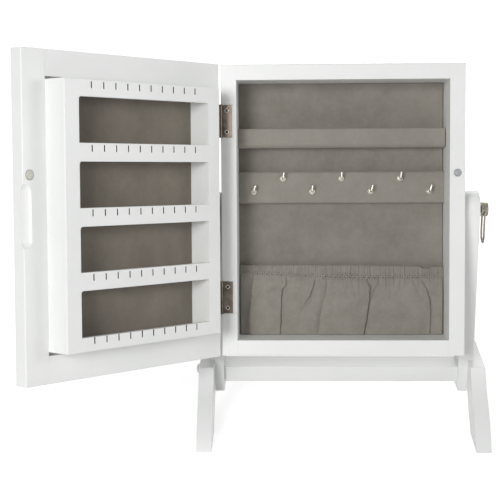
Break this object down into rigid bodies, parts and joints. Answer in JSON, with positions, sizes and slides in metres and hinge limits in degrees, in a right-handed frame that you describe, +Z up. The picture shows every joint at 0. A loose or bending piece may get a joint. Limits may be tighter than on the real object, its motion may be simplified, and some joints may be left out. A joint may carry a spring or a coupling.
{
  "type": "jewelry mirror cabinet",
  "caption": "Tabletop jewelry cabinet: a velvet lined case tilting between two posts, with a hinged mirror door that carries a slotted earring box.",
  "frame": {"origin": "on the table surface, in the middle of the box around the cabinet as it stands, with its door open", "axes": "+Z up, front towards -Y, +X to the right seen from the front; the tilting axis runs along X"},
  "size_m": [0.5304, 0.4154, 0.5031],
  "materials": {
    "white_lacquer": "satin white lacquer on MDF",
    "white_plastic": "moulded white caps and washers",
    "back_board": "thin white faced fibreboard",
    "grey_velvet": "grey brown velvet",
    "pocket_velvet": "grey brown velvet gathered on elastic",
    "hinge_nickel": "nickel plated steel",
    "screw_nickel": "nickel plated steel",
    "hook_metal": "pale nickel plated steel",
    "magnet_steel": "plated magnet",
    "insert_brass": "threaded brass",
    "mirror": "silvered glass"
  },
  "bodies": {
    "stand": {"left_post": "white_lacquer", "right_post": "white_lacquer", "left_foot": "white_lacquer", "right_foot": "white_lacquer", "crossbar": "white_lacquer", "stand_bolts": "hinge_nickel", "bolt_caps": "white_plastic", "tilt_washers": "white_plastic"},
    "case": {"case_left_side": "white_lacquer", "case_right_side": "white_lacquer", "case_top": "white_lacquer", "case_bottom": "white_lacquer", "back_panel": "back_board", "back_screws": "hinge_nickel", "back_lining": "grey_velvet", "ledge": "grey_velvet", "hook_plate": "grey_velvet", "hooks": "hook_metal", "elastic_pocket": "pocket_velvet", "threaded_inserts": "insert_brass", "catch_magnet": "magnet_steel", "bottom_hinge_case_leaf": "hinge_nickel", "top_hinge_case_leaf": "hinge_nickel", "hinge_pins": "hinge_nickel", "hinge_case_screws": "hinge_nickel"},
    "door": {"door_hinge_stile": "white_lacquer", "door_free_stile": "white_lacquer", "door_bottom_rail": "white_lacquer", "door_top_rail": "white_lacquer", "mirror_glass": "mirror", "mirror_backing": "back_board", "box_hinge_side": "white_lacquer", "box_free_side": "white_lacquer", "box_bottom": "white_lacquer", "box_top": "white_lacquer", "earring_rack": "white_lacquer", "door_velvet_pad": "grey_velvet", "strike_disc": "hinge_nickel", "bottom_hinge_door_leaf": "hinge_nickel", "top_hinge_door_leaf": "hinge_nickel", "hinge_door_screws": "hinge_nickel"},
    "left_screw": {"left_thumbscrew": "screw_nickel"},
    "right_screw": {"right_thumbscrew": "screw_nickel"},
    "left_folding_ring": {"left_ring": "screw_nickel"},
    "right_folding_ring": {"right_ring": "screw_nickel"}
  },
  "joints": [
    {"name": "cabinet_tilt", "type": "hinge", "parent": "stand", "child": "case", "pos_m": [0.08137, 0.08866, 0.2685], "axis": [1, 0, 0], "range_deg": [-15, 16]},
    {"name": "door_hinge", "type": "hinge", "parent": "case", "child": "door", "pos_m": [-0.06363, 0.0494, 0.27883], "axis": [0, 0.2544, 0.9671], "range_deg": [-18, 130.5]},
    {"name": "left_screw_turn", "type": "hinge", "parent": "case", "child": "left_screw", "pos_m": [-0.08363, 0.08866, 0.2685], "axis": [-1, 0, 0], "range_deg": [0, 360]},
    {"name": "right_screw_turn", "type": "hinge", "parent": "case", "child": "right_screw", "pos_m": [0.24637, 0.08866, 0.2685], "axis": [1, 0, 0], "range_deg": [0, 360]},
    {"name": "left_ring_swing", "type": "hinge", "parent": "left_screw", "child": "left_folding_ring", "pos_m": [-0.09123, 0.08866, 0.2665], "axis": [0, 1, 0], "range_deg": [-6, 186]},
    {"name": "right_ring_swing", "type": "hinge", "parent": "right_screw", "child": "right_folding_ring", "pos_m": [0.25397, 0.08866, 0.2665], "axis": [0, -1, 0], "range_deg": [-6, 186]}
  ]
}
